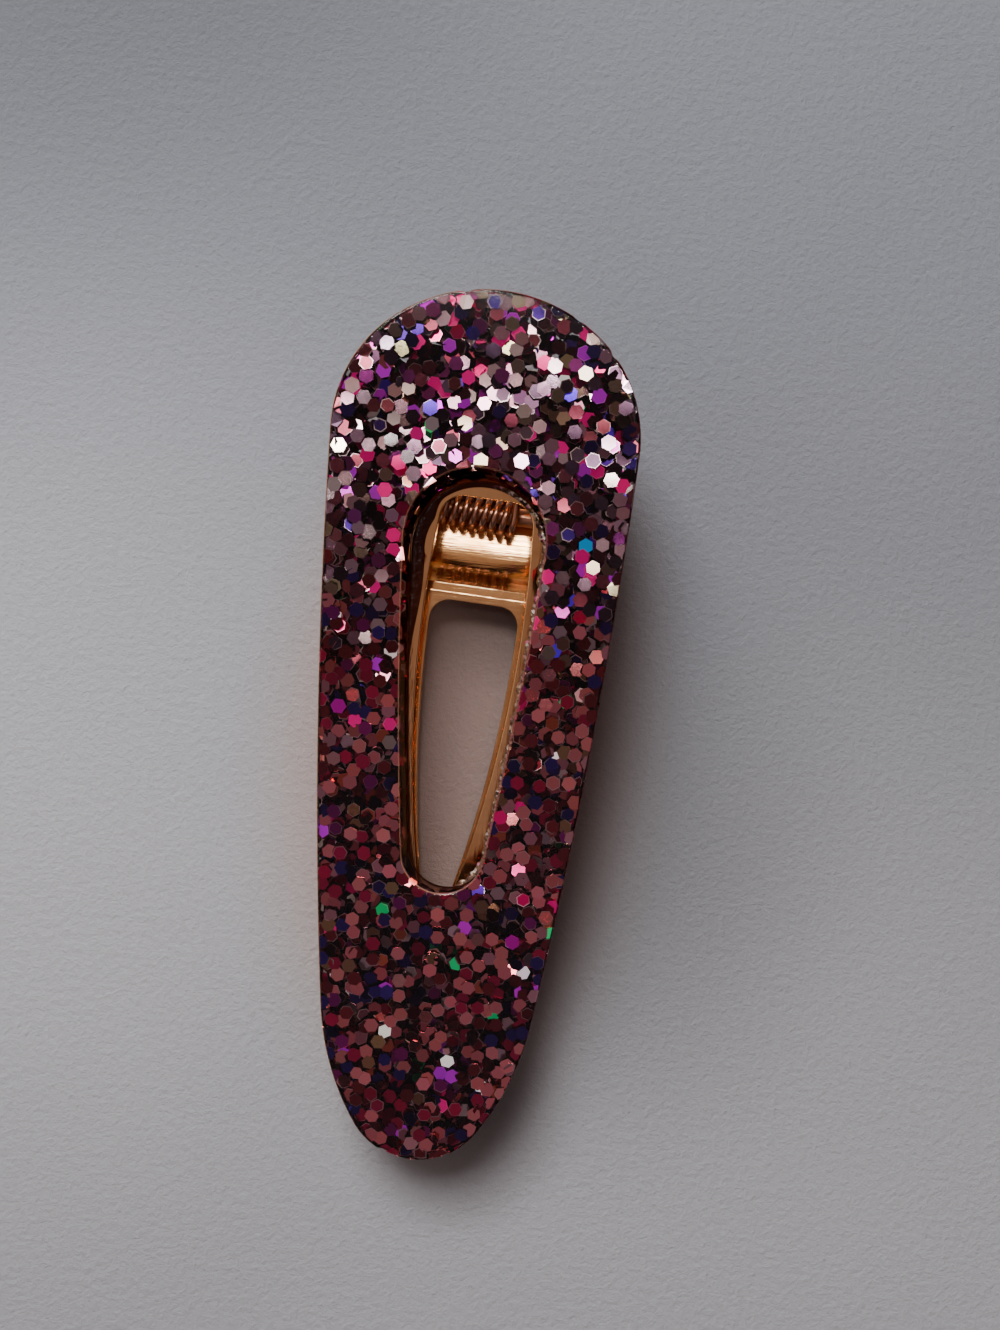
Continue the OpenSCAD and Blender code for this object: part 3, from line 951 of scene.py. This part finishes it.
def clear_resin(settings):
    """Clear cast resin, tinted most at the opening's wall, with painted light in its rounded edges.

    The attribute wall is 1 on the opening's wall, 0.5 on the outer wall and 0 on the top and the underside,
    and the edges lie between.
    """
    material, shader = new_material("clear_resin")
    normal = shader.bump(shader.noise(160.0), 0.0001, 0.35)
    wall = shader.node("ShaderNodeAttribute", {"attribute_name": "wall"}, output="Fac")
    resin = shader.see_through(settings.resin_tint)
    resin = shader.blend(wall.smooth(0.0, 0.5), resin, shader.see_through(settings.outer_tint))
    resin = shader.blend(wall.smooth(0.5, 1.0), resin, shader.see_through(settings.wall_tint))
    gloss = {"Color": (0.6, 0.6, 0.6, 1), "Roughness": 0.06, "Normal": normal}
    share = shader.node("ShaderNodeFresnel", None, {"IOR": 1.5, "Normal": normal})
    share = share * (1 - 0.7 * wall.smooth(0.5, 1.0))
    resin = shader.blend(share, resin, shader.node("ShaderNodeBsdfGlossy", None, gloss))
    # Painted light in the rims: a lit orange left rim, a shaded dark red right rim and a painted highlight round
    # the opening's rim
    right = shader.along("X").smooth(-0.004, 0.006)
    outer = shader.mix(right, rgba(settings.left_rim_highlight), rgba(settings.right_rim_shade))
    for colour, roughness, rise, fall in (
        (outer, 0.3, (0.04, 0.25), (0.3, 0.48)), (rgba(settings.inner_rim_highlight), 0.2, (0.5, 0.7), (0.8, 0.95)),
    ):
        rim = shader.principled({"Base Color": colour, "Roughness": roughness})
        resin = shader.blend(settings.painted_rim_share * wall.smooth(*rise) * (1 - wall.smooth(*fall)), resin, rim)
    shader.surface(resin)
    return material


def foil(settings):
    """Foil flakes, each in its own colour, with a broken painted highlight line along their edges.

    The colour's fourth value says how metallic a flake is. Flakes where it is low get a painted glow from
    emission, though they are no lamp. The UV map holds the place on a flake's face, whose reach across its sides
    is greatest at its edges.
    """
    material, shader = new_material("foil_flakes")
    colour = shader.node("ShaderNodeVertexColor", {"layer_name": "foil_colour"})
    metal = colour.also("Alpha")
    place = shader.node("ShaderNodeUVMap", {"uv_map": "flake_face"})
    across = 0.0
    for angle in (30, 90, 150):
        reach = shader.measure("DOT_PRODUCT", place, (*facing(angle), 0))
        across = reach.math("MAXIMUM", reach.math("ABSOLUTE", reach), across)
    # A painted highlight line along the flakes' edges
    line = settings.edge_highlight * across.smooth(0.79, 0.83) * shader.noise(700.0, 0.0).smooth(0.42, 0.6)
    shader.surface(shader.principled({
        "Base Color": shader.mix(line, colour, (0.85, 0.70, 0.72, 1)),
        "Metallic": settings.foil_metal * metal * (1 - line),
        # Painted glow: emission on the hot flakes, though they are no lamp
        "Emission Color": shader.mix(1 - metal.smooth(0.0, 0.4), (0, 0, 0, 1), colour),
        "Emission Strength": settings.painted_glow,
        "Roughness": 0.06 + 0.06 * shader.noise(2500.0),
        "Specular IOR Level": 0.15,
    }))
    return material


def plating(name, colour, worn_colour, roughness, streaks):
    """Metal plating, brushed in fine streaks and a little darker in cloudy patches."""
    material, shader = new_material(name)
    cloud = shader.noise(260.0, 3.0)
    streak = shader.noise(1.0, 3.0, 0.6, shader.place(streaks))
    shader.surface(shader.principled({
        "Base Color": shader.mix(cloud.smooth(0.42, 0.75), rgba(colour), rgba(worn_colour)),
        "Metallic": 1.0,
        "Roughness": roughness + 0.06 * streak + 0.06 * cloud,
        "Normal": shader.bump(streak, 0.00003, 0.5),
    }))
    return material


def glue_and_shade_film_material():
    """Dried glue full of fine glitter on the right, and a dark film of painted shade on the left and behind."""
    material, shader = new_material("glitter_glue_and_shade_film")
    pick = shader.node("ShaderNodeSeparateColor", None, {0: shader.cells(3800.0, "Color")}, "Red")
    glitter = shader.node("ShaderNodeValToRGB", {"stops": GLUE_GLITTER}, {"Fac": pick})
    right = shader.along("X").smooth(0.0005, 0.003)
    shader.surface(shader.principled({
        # Painted shade: the dark film on the left and behind
        "Base Color": shader.mix(right, (0.10, 0.022, 0.010, 1), glitter),
        "Metallic": pick.smooth(0.3, 0.6) * 0.8 * right,
        "Roughness": 0.3,
        "Specular IOR Level": 0.15,
        "Normal": shader.bump(shader.noise(1800.0), 0.0002, 0.8),
    }))
    return material


def paper(settings):
    """Matt pale paper with a faint tooth and specks, whose tone carries painted light and shade from place to
    place.

    Each tone is a share of painted light or shade that is added or taken off, all of it up to its first distance
    and none from its second on: along Y, or from a place. For the painted shadow beside the clip the distance is
    scaled and shifted.
    """
    material, shader = new_material("paper")
    tooth, swell = shader.noise(1300.0, 5.0, 0.7), shader.noise(12.0, 2.0)
    speck = 1 - shader.cells(28.0, "Distance").smooth(0.006, 0.012)
    y = shader.along("Y")
    # Distance for the painted shadow beside the clip
    side_shadow_reach = shader.measure("LENGTH", shader.place(SIDE_SHADOW_SCALE, SIDE_SHADOW_SHIFT))
    places = LIGHT_POOL_PLACE, FAR_SHADE_PLACE, HOLE_SHADE_PLACE, TIP_SHADOW_PLACE
    glow, dark, corner, tip = (shader.measure("DISTANCE", shader.place(), place) for place in places)

    def part(distance, tone):
        """What is left of a tone's share at a distance."""
        share, low, high = tone
        return share * (1 - distance.smooth(low, high))

    # Painted light: lighter towards the front and in a pool on the left
    tone = PAPER_TONE + part(y, FRONT_LIGHT_TONE) + part(glow, LIGHT_POOL_TONE)
    # Painted shade far behind, and the painted shadow beside the clip
    tone = tone * (1 - part(dark, FAR_SHADE_TONE)) * (1 - part(side_shadow_reach, SIDE_SHADOW_TONE))
    # Painted shade under the top of the opening; swell and tooth are the paper's own tone
    tone = tone * (1 - part(corner, HOLE_SHADE_TONE)) * (0.96 + 0.08 * swell) * (0.9 + 0.2 * tooth)
    clean = shader.mix(y.smooth(-0.02, 0.06), rgba(settings.paper_colour), rgba(settings.shaded_paper))
    # Painted warm bounce light on the paper close to the clip
    close = 1 - shader.measure("LENGTH", shader.place((1, 0.5, 1))).smooth(0.008, 0.024)
    clean = shader.mix(tone, (0, 0, 0, 1), shader.mix(close, clean, rgba(settings.warm_bounce_light)))
    # A painted dark brown shadow under the slab's tip
    clean = shader.mix(part(tip, TIP_SHADOW_TONE), clean, (0.06, 0.035, 0.032, 1))
    shader.surface(shader.principled({
        "Base Color": shader.mix(speck * 0.5, clean, (0.12, 0.11, 0.1, 1)),
        "Roughness": 0.85,
        "Normal": shader.bump(tooth * 0.6 + swell * 6, 0.0004, 0.9),
    }))
    return material


def room_light(settings):
    """The world: the room's light from left to right, with soft patches on a plane 1 above the clip.

    A direction (x, y, z) meets that plane, where the patches have their sides and ends, at x / z and y / z.
    """
    world = bpy.data.worlds.new("room")
    shader = Shader(world)
    direction = shader.node("ShaderNodeTexCoord", output="Generated")
    height = shader.node("ShaderNodeSeparateXYZ", None, {0: direction}, "Z")
    across, back = height.also("X") / height, height.also("Y") / height
    light = shader.mix(height.also("X").smooth(-0.9, 0.8), ROOM_LEFT, ROOM_RIGHT)
    for sides, ends, soft, colour in ROOM_PATCHES:
        share = height.smooth(0.0, 0.1)
        for place, (low, high) in ((across, sides), (back, ends)):
            share = share * place.smooth(low - soft, low) * (1 - place.smooth(high, high + soft))
        light = shader.mix(share, light, rgba(colour))
    glow = {"Color": light, "Strength": settings.room_light}
    shader.surface(shader.node("ShaderNodeBackground", None, glow))
    return world


def new_object(name, data):
    made = bpy.data.objects.new(name, data)
    bpy.context.scene.collection.objects.link(made)
    return made


def photo_camera():
    """The camera, straight above the clip and rolled as the clip lies in the photograph."""
    camera = bpy.data.cameras.new("camera")
    camera.lens, camera.sensor_width = CAMERA_LENS, CAMERA_SENSOR
    camera.clip_start = 0.005
    eye = new_object("camera", camera)
    eye.location = CAMERA_PLACE
    eye.rotation_euler = (0, 0, math.radians(CAMERA_ROLL))
    return eye


def new_piece(name, vertices, faces, material, normals=None):
    """A mesh object at the origin from vertices on the clip's axes, shaded smooth."""
    mesh = bpy.data.meshes.new(name)
    mesh.from_pydata(to_frame(vertices).tolist(), [], faces)
    mesh.shade_smooth()
    if normals is not None:
        mesh.normals_split_custom_set_from_vertices((normals @ METAL_AXES.T).tolist())
    mesh.materials.append(material)
    return new_object(name, mesh)


def new_lamp(name, place, size, power, colour):
    """A rectangular lamp that faces down."""
    light = bpy.data.lights.new(name, "AREA")
    light.shape = "RECTANGLE"
    light.size, light.size_y = size
    light.energy, light.color = power, colour
    lamp = new_object(name, light)
    lamp.location = place
    return lamp


def number_setting(name, description, default, **kind):
    return FloatProperty(name=name, description=description, default=default, **kind)


def colour_setting(name, description, default):
    return FloatVectorProperty(name=name, description=description, default=default, subtype="COLOR")


class SlabSettings(bpy.types.PropertyGroup):
    edge_radius: number_setting("Edge Radius", "Rounding of the slab's edges", 0.0003, unit="LENGTH")
    nick_scale: number_setting("Nicks", "Depth of the nicks in the slab's edge", 1.0, subtype="FACTOR")
    resin_tint: colour_setting("Resin Tint", "What the resin lets through", (0.98, 0.94, 0.93))
    outer_tint: colour_setting("Outer Tint", "What the slab's outer wall lets through", (0.92, 0.66, 0.60))
    wall_tint: colour_setting("Wall Tint", "What the opening's wall lets through", (0.68, 0.40, 0.32))
    # Painted light in the slab's rims: a highlight on the left, shade on the right, a highlight round the opening,
    # and how much of it shows
    left_rim_highlight: colour_setting("Left Rim", "Glow in the slab's left rim", (0.95, 0.40, 0.20))
    right_rim_shade: colour_setting("Right Rim", "Glow in the slab's right rim", (0.42, 0.07, 0.08))
    inner_rim_highlight: colour_setting("Inner Rim", "Glow in the opening's rim", (0.62, 0.38, 0.35))
    painted_rim_share: number_setting("Rim", "How much the slab's rim glows", 0.5, subtype="FACTOR")
    glue_width: number_setting("Glue Width", "Width of the glue on the right ledge", 0.0005, unit="LENGTH")


class FlakeSettings(bpy.types.PropertyGroup):
    flake_width: number_setting("Flake Width", "Width of a flake across its flats", 0.0012, unit="LENGTH")
    flake_thickness: number_setting("Flake Thickness", "Thickness of a flake", 0.00005, unit="LENGTH")
    layers: IntProperty(name="Layers", description="Layers of flakes in the slab", default=9)
    first_depth: number_setting("First Depth", "Depth of the first layer", 0.00025, unit="LENGTH")
    top_cover: number_setting(
        "Top Cover", "Share of the lattice filled in the top layer", 0.42, subtype="FACTOR")
    cover: number_setting(
        "Cover", "Share of the lattice filled in the other layers", 0.55, subtype="FACTOR")
    wall_margin: number_setting(
        "Wall Margin", "Distance of the flakes' centres from the walls", 0.00005, unit="LENGTH")
    tip: number_setting("Tip", "Usual tilt of a flake", math.radians(8.5), subtype="ANGLE")
    wide_lean: number_setting(
        "Wide Lean", "Lean of the flakes at the wide end", math.radians(3.5), subtype="ANGLE")
    loose_tip: number_setting(
        "Loose Tip", "Usual tilt of a loose flake", math.radians(24), subtype="ANGLE")
    loose_share: number_setting("Loose Share", "Share of flakes that are loose", 0.3, subtype="FACTOR")
    # Depth over which a painted shade darkens a flake
    shade_depth: number_setting(
        "Fade Depth", "Depth over which the resin dims a flake", 0.0012, unit="LENGTH")
    foil_metal: number_setting("Metal", "How metallic the foil is", 1.0, subtype="FACTOR")
    # A painted highlight line along the flakes' edges
    edge_highlight: number_setting("Edge Line", "How light the flakes' edges are", 0.5, subtype="FACTOR")
    # Painted glow of the hot flakes, though they are no lamp
    painted_glow: number_setting("Hot Glow", "Glow of the fluorescent flakes", 0.85)
    seed: IntProperty(name="Seed", description="Seed of the flakes' places", default=7)


class MetalSettings(bpy.types.PropertyGroup):
    gold: colour_setting("Gold", "Colour of the arms", (0.94, 0.55, 0.25))
    worn_gold: colour_setting("Worn Gold", "Colour of the arms where they are dull", (0.74, 0.38, 0.15))
    dark: colour_setting("Dark Plate", "Colour of the spring and pin", (0.52, 0.25, 0.16))
    worn_dark: colour_setting(
        "Worn Dark Plate", "Colour of the spring and pin where they are dull", (0.34, 0.12, 0.05))


class StageSettings(bpy.types.PropertyGroup):
    paper_colour: colour_setting("Paper", "Colour of the paper", (0.61, 0.60, 0.62))
    shaded_paper: colour_setting("Shaded Paper", "Colour of the paper behind the clip", (0.56, 0.58, 0.64))
    # Colour of the painted warm bounce light on the paper close to the clip
    warm_bounce_light: colour_setting("Warm Paper", "Colour of the paper close to the clip", (0.70, 0.49, 0.42))
    window_power: number_setting("Window", "Power of the window light", 11.5, unit="POWER")
    strip_power: number_setting("Strip", "Power of the strip that only mirrors show", 66.0, unit="POWER")
    veil_power: number_setting("Veil", "Power of the veil behind the strip", 7.0, unit="POWER")
    room_light: number_setting("Room", "Strength of the light from the room", 1.0)


class HAIR_CLIP_OT_resin_slab(bpy.types.Operator):
    """Adds the clear resin slab"""

    bl_idname = "hair_clip.resin_slab"
    bl_label = "Resin Slab"

    def execute(self, context):
        settings = context.scene.hair_clip_slab
        vertices, normals, faces, wall = slab_shape(settings.edge_radius / MM, settings.nick_scale)
        slab = new_piece("slab_resin", vertices, faces, clear_resin(settings), normals)
        slab.data.attributes.new("wall", "FLOAT", "POINT").data.foreach_set("value", wall)
        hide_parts("resin_slab")
        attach(slab, "upper")
        return {"FINISHED"}


class HAIR_CLIP_OT_flakes(bpy.types.Operator):
    """Adds the foil flakes in the slab"""

    bl_idname = "hair_clip.flakes"
    bl_label = "Foil Flakes"

    def execute(self, context):
        settings = context.scene.hair_clip_flakes
        vertices, faces, colours, face_places = flakes_shape(settings)
        flakes = new_piece("foil_flakes", vertices, faces, foil(settings))
        flakes.data.shade_flat()
        layer = flakes.data.color_attributes.new("foil_colour", "FLOAT_COLOR", "CORNER")
        layer.data.foreach_set("color", colours.ravel())
        flakes.data.uv_layers.new(name="flake_face").data.foreach_set("uv", face_places.ravel())
        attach(flakes, "upper")
        return {"FINISHED"}


class HAIR_CLIP_OT_glue(bpy.types.Operator):
    """Adds the glue between the slab and the metal ledge, and its dark film of painted shade"""

    bl_idname = "hair_clip.glue"
    bl_label = "Glue"

    def execute(self, context):
        vertices, faces = glue_and_shade_film_shape(context.scene.hair_clip_slab)
        glue = new_piece("glue_and_shade_film", vertices, faces, glue_and_shade_film_material())
        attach(glue, "upper")
        return {"FINISHED"}


class HAIR_CLIP_OT_arms(bpy.types.Operator):
    """Adds the two arms of the metal clip"""

    bl_idname = "hair_clip.arms"
    bl_label = "Clip Arms"

    def execute(self, context):
        settings = context.scene.hair_clip_metal
        parts = (
            ("upper_arm_sheet", upper_arm_shape, "upper_arm", "upper", (3500, 150, 3500)),
            ("lower_arm_sheet", lower_arm_shape, "lower_arm", "lower", (150, 3500, 3500)),
        )
        for name, shape, node, body, streaks in parts:
            vertices, normals, faces = shape()
            material = plating(name + "_gold", settings.gold, settings.worn_gold, 0.05, streaks)
            arm = new_piece(name, vertices, faces, material, normals)
            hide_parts(node)
            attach(arm, body)
        return {"FINISHED"}


class HAIR_CLIP_OT_hinge_pin(bpy.types.Operator):
    """Adds the riveted hinge pin"""

    bl_idname = "hair_clip.hinge_pin"
    bl_label = "Hinge Pin"

    def execute(self, context):
        settings = context.scene.hair_clip_metal
        material = plating("pin_plate", settings.dark, settings.worn_dark, 0.24, (150, 3000, 3000))
        pin = new_piece("hinge_rivet_pin", *pin_shape(), material)
        pin.data.set_sharp_from_angle(angle=math.radians(50))
        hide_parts("hinge_pin")
        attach(pin, "upper")
        return {"FINISHED"}


class HAIR_CLIP_OT_spring(bpy.types.Operator):
    """Adds the coil spring between the two arms"""

    bl_idname = "hair_clip.spring"
    bl_label = "Spring"

    def execute(self, context):
        settings = context.scene.hair_clip_metal
        material = plating("spring_plate", settings.dark, settings.worn_dark, 0.2, (900, 900, 900))
        spring = new_piece("coil_spring", *spring_shape(), material)
        coil_left = COIL_RIGHT_X - COIL_PITCH * (COIL_LAST - COIL_FIRST) / 360
        ends = to_frame(np.array([[COIL_RIGHT_X, HINGE_Y, -HINGE_DROP], [coil_left, HINGE_Y, -HINGE_DROP]]))
        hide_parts("spring")
        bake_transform(spring)
        return {"FINISHED"}


class HAIR_CLIP_OT_stage(bpy.types.Operator):
    """Adds the paper, the light and the camera"""

    bl_idname = "hair_clip.stage"
    bl_label = "Stage"

    def execute(self, context):
        settings = context.scene.hair_clip_stage
        side = np.linspace(-PAPER_HALF_W, PAPER_HALF_W, 41)
        corners = grid(side, side)
        index = np.arange(len(corners)).reshape(len(side), -1)
        faces = np.stack([index[:-1, :-1], index[:-1, 1:], index[1:, 1:], index[1:, :-1]], 2).reshape(-1, 4)
        mesh = bpy.data.meshes.new("paper")
        mesh.from_pydata(np.column_stack([corners, np.zeros(len(corners))]).tolist(), [], faces.tolist())
        mesh.materials.append(paper(settings))
        sheet = new_object("paper", mesh)

        window = new_lamp("window", WINDOW_PLACE, WINDOW_SIZE, settings.window_power, (0.94, 0.97, 1.0))
        window.rotation_euler = (-Vector(WINDOW_PLACE)).to_track_quat("-Z", "Y").to_euler()
        strip = new_lamp("strip", STRIP_PLACE, STRIP_SIZE, settings.strip_power, (1.0, 0.98, 0.95))
        veil = new_lamp("veil", VEIL_PLACE, VEIL_SIZE, settings.veil_power, (1.0, 0.88, 0.72))
        strip.visible_diffuse = veil.visible_diffuse = False
        context.scene.world = room_light(settings)
        context.scene.camera = photo_camera()
        return {"FINISHED"}


class HAIR_CLIP_PT_panel(bpy.types.Panel):
    """Lists the clip's pieces and their settings"""

    bl_label = "Hair Clip"
    bl_idname = "HAIR_CLIP_PT_panel"
    bl_space_type = "VIEW_3D"
    bl_region_type = "UI"
    bl_category = "Hair Clip"

    def draw(self, context):
        for group in SETTINGS:
            box = self.layout.box()
            settings = getattr(context.scene, group)
            for name in settings.bl_rna.properties.keys():
                if name not in ("rna_type", "name"):
                    box.prop(settings, name)
        for operator in OPERATORS:
            self.layout.operator(operator.bl_idname)


SETTINGS = {
    "hair_clip_slab": SlabSettings,
    "hair_clip_flakes": FlakeSettings,
    "hair_clip_metal": MetalSettings,
    "hair_clip_stage": StageSettings,
}
OPERATORS = (
    HAIR_CLIP_OT_resin_slab,
    HAIR_CLIP_OT_flakes,
    HAIR_CLIP_OT_glue,
    HAIR_CLIP_OT_arms,
    HAIR_CLIP_OT_hinge_pin,
    HAIR_CLIP_OT_spring,
    HAIR_CLIP_OT_stage,
)


def register():
    for group in (*SETTINGS.values(), *OPERATORS, HAIR_CLIP_PT_panel):
        bpy.utils.register_class(group)
    for name, group in SETTINGS.items():
        setattr(bpy.types.Scene, name, PointerProperty(type=group))


def unregister():
    for name in SETTINGS:
        delattr(bpy.types.Scene, name)
    for group in (HAIR_CLIP_PT_panel, *reversed(OPERATORS), *SETTINGS.values()):
        bpy.utils.unregister_class(group)


def main():
    register()
    for operator in OPERATORS:
        getattr(bpy.ops.hair_clip, operator.bl_idname.split(".")[1])()


if __name__ == "__main__":
    main()
